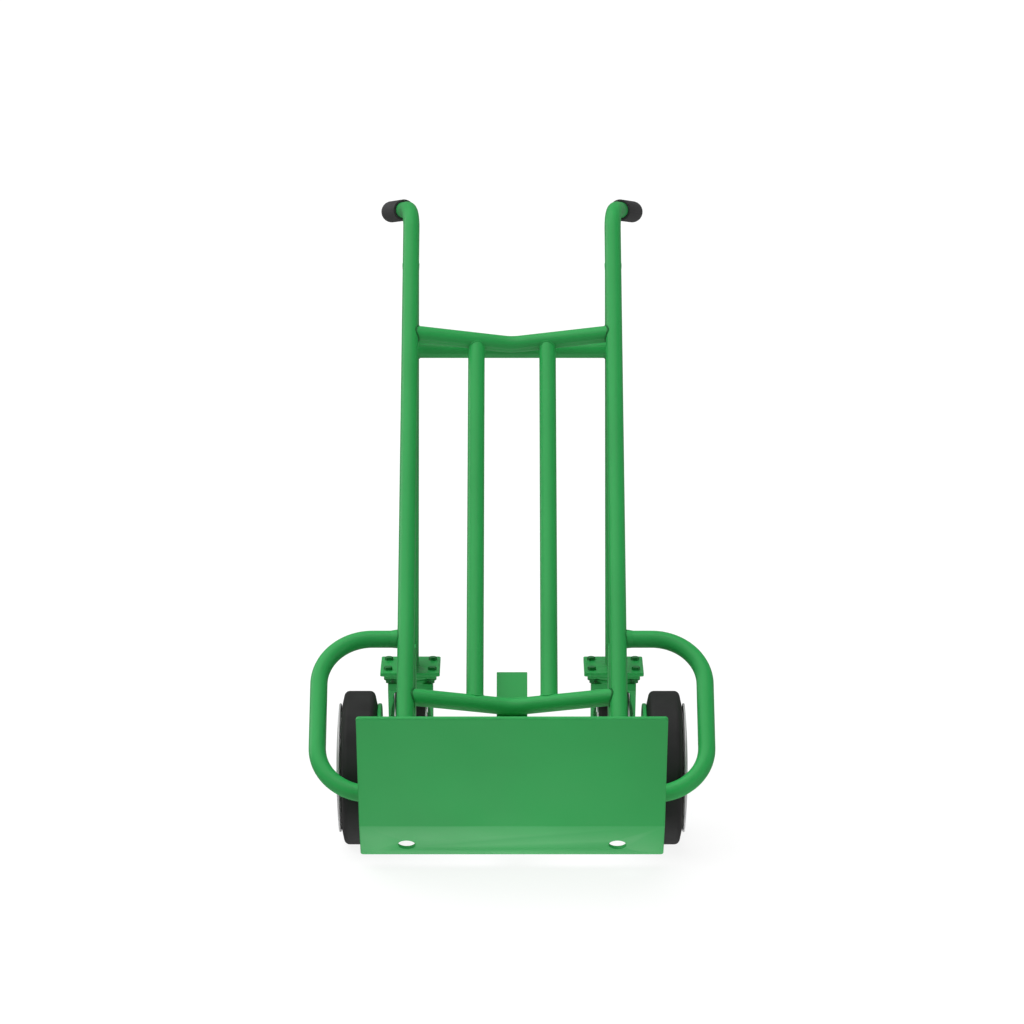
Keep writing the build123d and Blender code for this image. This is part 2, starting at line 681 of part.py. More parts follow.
for side, hand in sides:
    swivel = (side * rail_x, caster_y, 0)
    caster_axle = (side * rail_x, caster_axle_y, caster_wheel_radius)
    caster_axle_line = Axis(caster_axle, across)
    caster_section = Plane(caster_axle, x_dir=across, z_dir=(0, -1, 0))
    swivel_plane = Plane(swivel)
    fork_face = Plane(swivel, x_dir=across, z_dir=(0, -1, 0)).offset(fork_depth / 2)

    with BuildPart() as caster_plate:
        with BuildSketch(swivel_plane.offset(caster_plate_bottom)):
            RectangleRounded(caster_plate_width, caster_plate_length, mount_plate_round)
            with GridLocations(bolt_spacing_x, bolt_spacing_y, 2, 2):
                Circle(bolt_hole_radius, mode=Mode.SUBTRACT)
        extrude(amount=caster_plate_thickness)
        with BuildSketch(swivel_plane.offset(upper_race_bottom)):
            Circle(race_diameter / 2)
        extrude(amount=race_thickness)
        with Locations((side * rail_x, caster_y, ball_height)):
            Torus(ball_ring, groove_radius, mode=Mode.SUBTRACT)
        with Locations((side * rail_x, caster_y, caster_plate_top)):
            CounterBoreHole(kingpin_radius + fit_clearance, kingpin_head_diameter / 2 + fit_clearance,
                            kingpin_head_height)
    caster_plate.part.label = f"{hand}_caster_plate"
    export_step(caster_plate.part, f"parts/{hand}_caster_plate.step")

    with BuildPart() as kingpin:
        with BuildSketch(swivel_plane.offset(caster_plate_top)):
            Circle(kingpin_head_diameter / 2)
        extrude(amount=-kingpin_head_height)
        with BuildSketch(swivel_plane.offset(caster_plate_top)):
            Circle(kingpin_radius)
        extrude(amount=kingpin_end - caster_plate_top)
        chamfer(kingpin.edges().group_by(Axis.Z)[0], kingpin_tail / 2)
    kingpin.part.label = f"{hand}_kingpin"
    export_step(kingpin.part, f"parts/{hand}_kingpin.step")

    with BuildPart() as kingpin_nut:
        with BuildSketch(swivel_plane.offset(kingpin_nut_top)):
            RegularPolygon(kingpin_nut_flats / 2, 6, major_radius=False)
            Circle(kingpin_radius + fit_clearance, mode=Mode.SUBTRACT)
        extrude(amount=-kingpin_nut_height)
    kingpin_nut.part.label = f"{hand}_kingpin_nut"
    export_step(kingpin_nut.part, f"parts/{hand}_kingpin_nut.step")

    with BuildPart() as caster_balls:
        with Locations((side * rail_x, caster_y, ball_height)):
            with PolarLocations(ball_ring, ball_count):
                Sphere(ball_diameter / 2)
    caster_balls.part.label = f"{hand}_caster_balls"
    export_step(caster_balls.part, f"parts/{hand}_caster_balls.step")

    with BuildPart() as fork:
        with BuildSketch(Plane((side * rail_x - fork_outside, caster_y, 0), x_dir=(0, 1, 0), z_dir=across)):
            with Locations((0, caster_crown_top - fork_crown_thickness / 2)):
                Rectangle(fork_depth, fork_crown_thickness)
            with Locations((caster_trail, caster_wheel_radius)):
                Circle(fork_boss_radius)
            make_hull()
            with Locations((caster_trail, caster_wheel_radius)):
                Circle(caster_bolt_hole, mode=Mode.SUBTRACT)
        extrude(amount=2 * fork_outside)
        with BuildSketch(fork_face) as wheel_slot:
            with Locations((0, caster_crown_bottom / 2)):
                Rectangle(2 * fork_inside, caster_crown_bottom)
            fillet(wheel_slot.vertices().group_by(Axis.Y)[-1], fork_slot_round)
        extrude(amount=caster_wheel_diameter, both=True, mode=Mode.SUBTRACT)
        with BuildSketch(fork_face):
            with Locations((0, fork_arch_foot)):
                Ellipse(fork_mouth, fork_arch_rise)
            with Locations((0, fork_arch_foot / 2)):
                Rectangle(2 * fork_mouth, fork_arch_foot)
        extrude(amount=-fork_mouth_depth, mode=Mode.SUBTRACT)
        with BuildSketch(swivel_plane.offset(caster_crown_top)):
            Circle(race_diameter / 2)
        extrude(amount=race_thickness)
        with Locations((side * rail_x, caster_y, ball_height)):
            Torus(ball_ring, groove_radius, mode=Mode.SUBTRACT)
        with BuildSketch(swivel_plane.offset(kingpin_seat)):
            Circle(kingpin_nut_corner + kingpin_seat_margin)
        extrude(amount=-fork_crown_thickness, mode=Mode.SUBTRACT)
        with BuildSketch(swivel_plane.offset(lower_race_top)):
            Circle(kingpin_hole)
        extrude(amount=kingpin_seat - lower_race_top, mode=Mode.SUBTRACT)
    fork.part.label = f"{hand}_caster_fork"
    export_step(fork.part, f"parts/{hand}_caster_fork.step")

    with BuildPart() as axle_bolt:
        head_plane = Plane((side * (rail_x + fork_outside), caster_axle_y, caster_wheel_radius),
                           x_dir=(0, 1, 0), z_dir=across * side)
        with BuildSketch(head_plane):
            RegularPolygon(caster_bolt_head_flats / 2, 6, major_radius=False)
        extrude(amount=caster_bolt_head_height)
        with BuildSketch(head_plane):
            Circle(caster_bolt_radius)
        extrude(amount=-2 * fork_outside - caster_nut_height - caster_bolt_tail)
    axle_bolt.part.label = f"{hand}_caster_axle_bolt"
    export_step(axle_bolt.part, f"parts/{hand}_caster_axle_bolt.step")

    with BuildPart() as axle_nut:
        with BuildSketch(head_plane.offset(-2 * fork_outside)):
            RegularPolygon(caster_bolt_head_flats / 2, 6, major_radius=False)
            Circle(caster_bolt_radius + fit_clearance, mode=Mode.SUBTRACT)
        extrude(amount=-caster_nut_height)
    axle_nut.part.label = f"{hand}_caster_axle_nut"
    export_step(axle_nut.part, f"parts/{hand}_caster_axle_nut.step")

    with BuildPart() as sleeve:
        with BuildSketch(Plane(caster_axle, z_dir=across)):
            Circle(sleeve_radius)
            Circle(caster_bolt_hole, mode=Mode.SUBTRACT)
        extrude(amount=fork_inside, both=True)
    sleeve.part.label = f"{hand}_caster_sleeve"
    export_step(sleeve.part, f"parts/{hand}_caster_sleeve.step")

    with BuildPart() as roller_bearing:
        with BuildSketch(Plane(caster_axle, z_dir=across)):
            Circle(roller_bore + roller_thickness)
            Circle(roller_bore, mode=Mode.SUBTRACT)
        extrude(amount=roller_length / 2, both=True)
    roller_bearing.part.label = f"{hand}_caster_roller_bearing"
    export_step(roller_bearing.part, f"parts/{hand}_caster_roller_bearing.step")

    with BuildPart() as core:
        with BuildSketch(caster_section) as core_profile:
            with Locations((0, core_radius - core_rim_thickness / 2)):
                Rectangle(core_width, core_rim_thickness)
            fillet(core_profile.vertices(), core_edge_round)
            with Locations((0, (core_bore + core_radius - core_rim_thickness / 2) / 2)):
                Rectangle(core_web_thickness, core_radius - core_rim_thickness / 2 - core_bore)
            with Locations((0, core_bore + core_hub_wall / 2)):
                Rectangle(2 * core_hub, core_hub_wall)
        revolve(axis=caster_axle_line)
    core.part.label = f"{hand}_caster_wheel_core"
    export_step(core.part, f"parts/{hand}_caster_wheel_core.step")

    with BuildPart() as tread:
        with BuildSketch(caster_section) as tread_profile:
            with Locations((0, core_radius + fit_clearance + (tread_thickness - fit_clearance) / 2)):
                Rectangle(tread_width, tread_thickness - fit_clearance)
            fillet(tread_profile.vertices().group_by(Axis.Y)[-1], tread_round)
        revolve(axis=caster_axle_line)
    tread.part.label = f"{hand}_caster_tread"
    export_step(tread.part, f"parts/{hand}_caster_tread.step")
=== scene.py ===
# %% [markdown]
# # A bag and box truck
# The truck leans back on two main wheels and two swivel casters. Its frame is round steel tube,
# bent, coped and welded, under one coat of green powder paint. The measured solids of all its
# pieces come in first, and they never move. What follows gives them their finishes, and puts a
# finer mesh in the place of each solid whose corners are sharper than real metal or rubber.

# %% Load the measured solids
import json
from math import cos, pi, radians, sin, tau

import bmesh
import bpy
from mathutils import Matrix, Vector
from mathutils.bvhtree import BVHTree


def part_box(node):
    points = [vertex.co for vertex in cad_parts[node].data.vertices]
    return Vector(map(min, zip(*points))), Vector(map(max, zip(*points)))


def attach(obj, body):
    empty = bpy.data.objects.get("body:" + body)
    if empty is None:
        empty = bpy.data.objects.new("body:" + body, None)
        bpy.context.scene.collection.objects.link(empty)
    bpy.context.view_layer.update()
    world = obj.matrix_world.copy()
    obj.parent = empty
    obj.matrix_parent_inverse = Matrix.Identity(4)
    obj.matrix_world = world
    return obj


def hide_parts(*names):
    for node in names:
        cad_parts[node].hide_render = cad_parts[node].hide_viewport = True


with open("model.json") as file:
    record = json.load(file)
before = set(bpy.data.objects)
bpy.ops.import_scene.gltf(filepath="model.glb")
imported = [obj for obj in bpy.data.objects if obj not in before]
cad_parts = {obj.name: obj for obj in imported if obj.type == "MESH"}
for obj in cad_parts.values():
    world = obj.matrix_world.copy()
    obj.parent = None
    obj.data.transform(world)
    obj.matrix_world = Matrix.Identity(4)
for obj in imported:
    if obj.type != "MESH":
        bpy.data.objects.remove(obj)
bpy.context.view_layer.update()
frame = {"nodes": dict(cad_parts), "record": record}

solids = frame["nodes"]
mm = 0.001
hands = ("left", "right")

# %% [markdown]
# ## The camera
# The photograph looks straight at the front of the truck, from 13 degrees above the floor,
# through a long lens that keeps the rails almost parallel. The camera aims at a point above the
# axle, so that the truck's middle plane stays in the middle of the picture.

# %% Set up the camera
camera_elevation = radians(13)
camera_distance = 8.098
aim_height = 0.5613
axle_middle = sum(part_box("axle"), Vector()) / 2
aim = Vector((0, axle_middle.y, aim_height))
to_camera = Vector((0, -cos(camera_elevation), sin(camera_elevation)))
camera = bpy.data.objects.new("camera", bpy.data.cameras.new("camera"))
camera.data.lens = 174
camera.data.sensor_width = 36
camera.location = aim + camera_distance * to_camera
camera.rotation_euler = (pi / 2 - camera_elevation, 0, 0)
bpy.context.scene.collection.objects.link(camera)
bpy.context.scene.camera = camera
print("camera at", [round(x, 3) for x in camera.location])

# %% [markdown]
# ## Small helpers for node trees
# A finish and a Geometry Nodes tree are both graphs. One helper adds a node, sets its options and
# either joins or fills its sockets, so that each finish below reads as a short list of steps.

# %% Helpers for node trees
def add_node(tree, kind, inputs=None, **options):
    """Adds a node. An input is filled with a value, or joined if it is given a node's socket."""
    node = tree.nodes.new(kind)
    for name, value in options.items():
        setattr(node, name, value)
    for name, value in (inputs or {}).items():
        if isinstance(value, bpy.types.NodeSocket):
            tree.links.new(value, node.inputs[name])
        else:
            node.inputs[name].default_value = value
    return node


def new_finish(name, values):
    """A new material with plain values on its shader's own sockets."""
    finish = bpy.data.materials.new(name)
    finish.use_nodes = True
    shader = finish.node_tree.nodes["Principled BSDF"]
    for socket, value in values.items():
        shader.inputs[socket].default_value = value
    return finish, finish.node_tree, shader


# %% Helpers for finishes
def object_place(tree):
    """Where a point lies on the piece, in metres."""
    return add_node(tree, "ShaderNodeTexCoord").outputs["Object"]


def noise(tree, place, scale, detail=2.0):
    """Soft noise over the piece, with scale in cells per metre."""
    return add_node(tree, "ShaderNodeTexNoise",
                    {"Vector": place, "Scale": scale, "Detail": detail}).outputs["Fac"]


def remap(tree, value, low, high, to_low, to_high):
    """Stretches a value from one range to another, and stops at the ends."""
    return add_node(tree, "ShaderNodeMapRange",
                    {"Value": value, "From Min": low, "From Max": high,
                     "To Min": to_low, "To Max": to_high}).outputs["Result"]


def mix_colours(tree, share, first, second):
    """Goes from the first colour to the second as share goes from 0 to 1."""
    made = add_node(tree, "ShaderNodeMix", {0: share, 6: first, 7: second}, data_type="RGBA")
    return made.outputs[2]


def bump(tree, shader, height, distance):
    """Roughens the surface by a height that runs from 0 to 1 over a distance in metres."""
    made = add_node(tree, "ShaderNodeBump", {"Height": height, "Distance": distance})
    tree.links.new(made.outputs["Normal"], shader.inputs["Normal"])


# %% [markdown]
# ## The studio
# The photograph has no room in it: ground and background are one white, and the light comes
# mostly from above and a little from the left. A real white floor would light the undersides of
# the tubes far more than the photograph does. So this floor glows by itself, and it is kept out
# of the light that reaches the truck.

# %% Lay the floor
def build_floor(reach, tones, glow):
    """A pale floor. Its tones take the truck's faint shadow, and its glow makes it white."""
    mesh = bpy.data.meshes.new("floor")
    corners = [(-reach, -reach, 0), (reach, -reach, 0), (reach, reach, 0), (-reach, reach, 0)]
    mesh.from_pydata(corners, [], [(0, 1, 2, 3)])
    floor = bpy.data.objects.new("floor", mesh)
    bpy.context.scene.collection.objects.link(floor)
    floor.visible_shadow = False
    floor.visible_diffuse = False
    floor.visible_glossy = False
    finish, tree, shader = new_finish("pale_floor", {
        "Roughness": 0.9, "Specular IOR Level": 0.1,
        "Emission Color": (1, 1, 1, 1), "Emission Strength": glow})
    grain = noise(tree, object_place(tree), scale=6.0)
    dark, light = [(tone, tone, tone, 1) for tone in tones]
    tree.links.new(mix_colours(tree, grain, dark, light), shader.inputs["Base Color"])
    mesh.materials.append(finish)


build_floor(reach=120.0, tones=(0.155, 0.165), glow=0.88)
print("the floor is in place")

# %% [markdown]
# The sky lights the truck in the floor's place. It has one strength below the horizon and another
# above it. Reflections get a pair of strengths of their own, because paint that mirrors a bright
# white sky looks chalky. The camera itself sees plain white.

# %% Hang the sky
def build_sky(on_surfaces, in_reflections, horizon=0.2):
    """A white sky. Each pair of strengths is for below and above the horizon."""
    world = bpy.data.worlds.new("studio")
    bpy.context.scene.world = world
    world.use_nodes = True
    tree = world.node_tree
    way = add_node(tree, "ShaderNodeTexCoord").outputs["Generated"]
    height = add_node(tree, "ShaderNodeSeparateXYZ", {"Vector": way}).outputs["Z"]
    lit = remap(tree, height, -horizon, horizon, *on_surfaces)
    mirrored = remap(tree, height, -horizon, horizon, *in_reflections)
    path = add_node(tree, "ShaderNodeLightPath").outputs
    light = add_node(tree, "ShaderNodeMix",
                     {0: path["Is Glossy Ray"], 2: lit, 3: mirrored}, data_type="FLOAT")
    seen = add_node(tree, "ShaderNodeMix",
                    {0: path["Is Camera Ray"], 2: light.outputs[0], 3: 1.0}, data_type="FLOAT")
    background = tree.nodes["Background"].inputs
    background["Color"].default_value = (1, 1, 1, 1)
    tree.links.new(seen.outputs[0], background["Strength"])


build_sky(on_surfaces=(0.85, 0.02), in_reflections=(0.2, 0.22))
bpy.context.scene.view_settings.view_transform = "Standard"
print("the sky is in place")

# %% [markdown]
# Suns with a wide disc give even light everywhere, where an area lamp would fade towards the back
# of the truck. One stands overhead and one fills the right side. Two more are seen in reflections
# alone: the first draws the soft pale line down the left side of each tube, and the second puts
# the shine on the bends.

# %% Place the suns
def place_light(name, kind, energy, toward, location=(0, 0, 0)):
    light = bpy.data.objects.new(name, bpy.data.lights.new(name, kind))
    light.data.energy = energy
    light.location = location
    light.rotation_euler = Vector(toward).to_track_quat("-Z", "Y").to_euler()
    bpy.context.scene.collection.objects.link(light)
    return light


def sun(name, energy, toward, spread, in_reflections):
    """A sun that lights surfaces, or that is seen in reflections instead."""
    light = place_light(name, "SUN", energy, toward)
    light.data.angle = radians(spread)
    light.visible_diffuse = not in_reflections
    light.visible_glossy = in_reflections
    print(f"{name}: a sun of {energy}")


sun("overhead", 3.55, toward=(0.35, 0, -1), spread=80, in_reflections=False)
sun("right_fill", 0.63, toward=(-1, 0.6, -0.3), spread=50, in_reflections=False)
sun("left_line", 0.3, toward=(0.84, -0.45, -0.3), spread=30, in_reflections=True)
sun("bend_shine", 0.22, toward=(0.52, -0.31, -0.79), spread=50, in_reflections=True)

# %% [markdown]
# Lamps below the floor stand for the light that a white ground throws up at the nose plate. Two
# light it, and two are seen in reflections alone. The weakest has a narrow beam, which only the
# heel of the plate mirrors to the camera. It gives the heel its paler tone.

# %% Place the lamps below the floor
def ground_lamp(name, energy, location, target, size, in_reflections, spread=180):
    light = place_light(name, "AREA", energy, Vector(target) - Vector(location), location)
    light.data.shape = "RECTANGLE"
    light.data.size, light.data.size_y = size
    light.data.spread = radians(spread)
    light.visible_diffuse = not in_reflections
    light.visible_glossy = in_reflections
    print(f"{name}: a lamp of {energy} W")


nose_low, nose_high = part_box("nose_plate")
nose_tip = (0, nose_low.y, nose_high.z / 2)
heel_edge = (0, nose_high.y, nose_low.z)
heel_middle = (0, nose_high.y - 34 * mm, nose_low.z + 34 * mm)
before_nose = (0, nose_low.y - 0.5, -0.3)
below_heel = (0, nose_high.y + 0.1, -0.35)
behind_heel = (0, nose_high.y + 0.14, -0.35)
ground_lamp("nose_glow", 1.45, before_nose, nose_tip, (1.0, 0.4), in_reflections=False)
ground_lamp("heel_glow", 1.45, below_heel, heel_edge, (0.7, 0.25), in_reflections=False)
ground_lamp("nose_shine", 1.3, below_heel, heel_edge, (0.7, 0.25), in_reflections=True)
ground_lamp("heel_shine", 0.0085, behind_heel, heel_middle, (0.7, 0.1), in_reflections=True,
            spread=30)

# %% [markdown]
# ## The finishes
# Each finish reads where the point lies on its piece, in metres, so the grain of the paint is the
# same size on a bolt head as on the nose plate. Powder paint is melted on as a dry powder. It
# comes out slightly uneven in colour and gloss, with a fine pebbling that painters call orange
# peel. Three layers of noise at three sizes give just that.

# %% Green powder paint
def green_powder_paint(name, shade, roughness):
    """Powder paint with a slow drift of colour, an uneven gloss and orange peel."""
    green = (0.0205, 0.335, 0.072)
    finish, tree, shader = new_finish(name, {"IOR": 1.5})
    place = object_place(tree)
    drift = remap(tree, noise(tree, place, scale=5.0), 0.35, 0.65, 0, 1)
    # A shade below 1 darkens the whole coat, which paints shade into it.
    thin, thick = [(*(c * share * shade for c in green), 1) for share in (0.96, 1.04)]
    tree.links.new(mix_colours(tree, drift, thin, thick), shader.inputs["Base Color"])
    gloss = remap(tree, noise(tree, place, scale=14.0), 0.3, 0.7, *roughness)
    tree.links.new(gloss, shader.inputs["Roughness"])
    bump(tree, shader, noise(tree, place, scale=900.0, detail=1.0), distance=0.04 * mm)
    return finish


# %% [markdown]
# Grips, tyres and treads are rubber. Rubber has a faint pale bloom in patches, and the patches
# are also the dullest places, so one noise drives both colour and roughness. Bare metal clouds
# in the same way: satin aluminium on the covers and the caster wheels, and plated steel on the
# axle, the pins and the bearings.

# %% Rubber and bare metal
def cloudy_finish(values, name, first, second, cloud, roughness):
    """A finish whose colour and roughness drift together. Cloud is a scale and a range of noise."""
    finish, tree, shader = new_finish(name, values)
    place = object_place(tree)
    scale, low, high = cloud
    drift = remap(tree, noise(tree, place, scale, detail=4.0), low, high, 0, 1)
    tree.links.new(mix_colours(tree, drift, (*first, 1), (*second, 1)), shader.inputs["Base Color"])
    tree.links.new(remap(tree, drift, 0, 1, *roughness), shader.inputs["Roughness"])
    return finish, tree, shader, place


def rubber(name, dark, light, grain_scale, roughness):
    finish, tree, shader, place = cloudy_finish(
        {"IOR": 1.45, "Specular IOR Level": 0.3}, name, dark, light, (22.0, 0.35, 0.7), roughness)
    bump(tree, shader, noise(tree, place, grain_scale), distance=0.1 * mm)
    return finish


def bare_metal(name, dull, bright, grain_scale, roughness, metallic):
    finish, tree, shader, place = cloudy_finish(
        {"Metallic": metallic}, name, dull, bright, (30.0, 0.35, 0.65), roughness)
    bump(tree, shader, noise(tree, place, grain_scale), distance=0.03 * mm)
    return finish


# %% One finish for each slot
finishes = {
    "green_paint": green_powder_paint("green_powder_paint", 1.0, roughness=(0.32, 0.4)),
    "grip_rubber": rubber("grip_rubber", (0.034, 0.034, 0.035), (0.046, 0.046, 0.047),
                          grain_scale=900.0, roughness=(0.5, 0.62)),
    "tyre_rubber": rubber("tyre_rubber", (0.018, 0.018, 0.018), (0.026, 0.026, 0.026),
                          grain_scale=700.0, roughness=(0.55, 0.7)),
    "caster_rubber": rubber("caster_rubber", (0.016, 0.015, 0.015), (0.024, 0.021, 0.021),
                            grain_scale=800.0, roughness=(0.55, 0.7)),
    "cover_silver": bare_metal("cover_silver", (0.64, 0.64, 0.64), (0.72, 0.72, 0.72),
                               grain_scale=500.0, roughness=(0.4, 0.5), metallic=0.3),
    "core_silver": bare_metal("core_silver", (0.86, 0.86, 0.86), (0.93, 0.93, 0.93),
                              grain_scale=700.0, roughness=(0.4, 0.55), metallic=0.1),
    "plated_steel": bare_metal("plated_steel", (0.5, 0.5, 0.51), (0.62, 0.62, 0.62),
                               grain_scale=400.0, roughness=(0.25, 0.4), metallic=1.0),
}
# Painted shade: the weld beads in deep crevices take this darker copy of the green.
shaded_weld_coat = green_powder_paint("green_shaded_weld_coat", 0.42, roughness=(0.5, 0.6))
# Painted shade: bolt heads and nuts take this darker copy of the green, for the shade on their
# sides.
shaded_bolt_coat = green_powder_paint("green_shaded_bolt_coat", 0.5, roughness=(0.3, 0.4))
slot_of = {row["node"]: row["material_slot"] for row in frame["record"]["subparts"]}
for name, solid in solids.items():
    solid.data.materials.clear()
    solid.data.materials.append(finishes[slot_of[name]])
print("finishes:", ", ".join(finishes))

# %% [markdown]
# ## Pieces that stand in for solids
# A solid from the frame is never moved or reshaped. A finer piece takes its place instead: the
# solid is hidden, and the piece rides on the same body and is named after that solid. Except for
# the bolts and nuts, it keeps the solid's finish. A piece starts as a draft that modifiers can work
# on. What they make is kept as a plain mesh.

# %% Helpers for shells and surfaces
same_point = 0.002 * mm
sharp_angle = radians(28)


def merged_solid(node):
    """A copy of a solid as one closed shell, because a solid comes in as loose triangles."""
    shell = bmesh.new()
    shell.from_mesh(solids[node].data)
    bmesh.ops.remove_doubles(shell, verts=shell.verts, dist=same_point)
    return shell


def surface_of(node):
    """The surface of a solid, which can be asked for its nearest point."""
    mesh = solids[node].data
    return BVHTree.FromPolygons([v.co for v in mesh.vertices], [p.vertices for p in mesh.polygons])


def mesh_from(shell, name):
    """Turns a shell into a smooth-shaded mesh of its own and lets go of the shell."""
    for face in shell.faces:
        face.smooth = True
    mesh = bpy.data.meshes.new(name)
    shell.to_mesh(mesh)
    shell.free()
    return mesh


def box_round(points):
    """Lowest and highest corner of the box round some points."""
    return [Vector([pick(p[i] for p in points) for i in range(3)]) for pick in (min, max)]


# %% Helpers for new pieces
def draft_piece(name, mesh, finish):
    """An object that modifiers can work on."""
    mesh.materials.clear()
    mesh.materials.append(finish)
    draft = bpy.data.objects.new(f"{name}_draft", mesh)
    bpy.context.scene.collection.objects.link(draft)
    return draft


def kept_mesh(name, draft):
    """What a draft's modifiers made, as a plain mesh. The draft goes."""
    bpy.context.view_layer.update()
    shape = draft.evaluated_get(bpy.context.evaluated_depsgraph_get())
    mesh = bpy.data.meshes.new_from_object(shape)
    mesh.name = name
    bpy.data.objects.remove(draft)
    return mesh


body_of = {node: body for body, nodes in frame["record"]["behaviour"]["bodies"].items()
           for node in nodes}


def settle(name, draft, node):
    """Makes a draft a finished piece, on the body of the solid it belongs to."""
    piece = bpy.data.objects.new(name, kept_mesh(name, draft))
    bpy.context.scene.collection.objects.link(piece)
    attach(piece, body_of[node])
    return piece


# %% [markdown]
# ## Node trees that make geometry
# What repeats or follows a path is grown by Geometry Nodes. Three helpers serve every tree below:
# one starts a tree with a named input for each size, one puts it on an object, and one ends it
# with real geometry that carries its material.

# %% Helpers for Geometry Nodes
def new_tree(name, sizes):
    """A tree with one geometry in and out, and a named input for each size."""
    tree = bpy.data.node_groups.new(name, "GeometryNodeTree")
    tree.interface.new_socket("Geometry", in_out="INPUT", socket_type="NodeSocketGeometry")
    for size, value in sizes.items():
        is_finish = isinstance(value, bpy.types.Material)
        kind = "NodeSocketMaterial" if is_finish else "NodeSocketFloat"
        tree.interface.new_socket(size, in_out="INPUT", socket_type=kind)
    tree.interface.new_socket("Geometry", in_out="OUTPUT", socket_type="NodeSocketGeometry")
    return tree, tree.nodes.new("NodeGroupInput").outputs, tree.nodes.new("NodeGroupOutput")


def grow(draft, tree, sizes):
    """Puts a tree on a draft and sets its sizes by the identifiers of their sockets."""
    growth = draft.modifiers.new(tree.name, "NODES")
    growth.node_group = tree
    for socket in tree.interface.items_tree:
        if socket.in_out == "INPUT" and socket.name in sizes:
            growth[socket.identifier] = sizes[socket.name]


def finish_tree(tree, shape, material, output, crisp=pi):
    """Ends a tree with real geometry and its material. Edges that bend past crisp are sharp."""
    real = add_node(tree, "GeometryNodeRealizeInstances", {"Geometry": shape})
    smooth = add_node(tree, "GeometryNodeSetShadeSmooth",
                      {"Geometry": real.outputs[0], "Shade Smooth": True})
    bend = add_node(tree, "GeometryNodeInputMeshEdgeAngle").outputs["Unsigned Angle"]
    sharp = add_node(tree, "FunctionNodeCompare", {0: bend, 1: crisp}, operation="GREATER_THAN")
    edged = add_node(tree, "GeometryNodeSetShadeSmooth",
                     {"Geometry": smooth.outputs[0], "Selection": sharp.outputs[0],
                      "Shade Smooth": False}, domain="EDGE")
    coated = add_node(tree, "GeometryNodeSetMaterial",
                      {"Geometry": edged.outputs[0], "Material": material})
    tree.links.new(coated.outputs[0], output.inputs[0])


def maths(tree, operation, *terms):
    """One calculation on numbers or sockets, as a socket."""
    return add_node(tree, "ShaderNodeMath", dict(enumerate(terms)), operation=operation).outputs[0]


def vector(tree, **parts):
    """A vector with the parts that are given, as a socket."""
    return add_node(tree, "ShaderNodeCombineXYZ", parts).outputs[0]


# %% [markdown]
# ## Turned pieces
# Tyres, rims, covers, caster cores and treads are bodies of revolution: one outline, turned round
# an axle. The outline is read from the solid, along the seam that runs straight up from the axle.
# A tyre's crown loses its small rounds here, because the photograph shows larger ones.

# %% Read the outline of a turned solid
def outline_above_axle(node, middle):
    """Seam of a solid above its axle, as a mesh of edges. Outwards is X, along the axle is -Y."""
    shell = merged_solid(node)
    outline = bmesh.new()
    outline.verts.layers.float.new("corner")
    nearly = 0.02 * mm
    kept = {}
    for edge in shell.edges:
        if all(abs(v.co.y - middle.y) < nearly and v.co.z > middle.z - nearly for v in edge.verts):
            for vert in edge.verts:
                if vert.index not in kept:
                    place = (vert.co.z - middle.z, -vert.co.x, 0)
                    kept[vert.index] = outline.verts.new(place)
            outline.edges.new([kept[vert.index] for vert in edge.verts])
    shell.free()
    return outline


def squared_crown(outline):
    """Takes the small rounds off a tyre's crown and gives the two corners that are left."""
    reach = max(v.co.x for v in outline.verts)
    middle = sum(pick(v.co.y for v in outline.verts) for pick in (min, max)) / 2
    shoulders, corners = [], []
    for side in (-1, 1):
        shoulder = max(outline.verts, key=lambda v: (v.co.y - middle) * side)
        flank = max((e.other_vert(shoulder) for e in shoulder.link_edges), key=lambda v: v.co.x)
        rise = (reach - shoulder.co.x) / (flank.co.x - shoulder.co.x)
        corners.append(shoulder.co + (flank.co - shoulder.co) * rise)
        shoulders.append(shoulder)
    above = max(v.co.x for v in shoulders) + 0.01 * mm
    crown = [v for v in outline.verts if v.co.x > above]
    bmesh.ops.delete(outline, geom=crown, context="VERTS")
    corners = [outline.verts.new(corner) for corner in corners]
    for start, end in (shoulders[:1] + corners[:1], corners, corners[1:] + shoulders[1:]):
        outline.edges.new((start, end))
    return corners


# %% [markdown]
# A Screw modifier could turn the outline, but it can't round the corners. A tree does both: it
# rounds each corner by the radius stored on its point, and sweeps the outline round a circle of
# many steps, which is smoother than the solid's own facets.

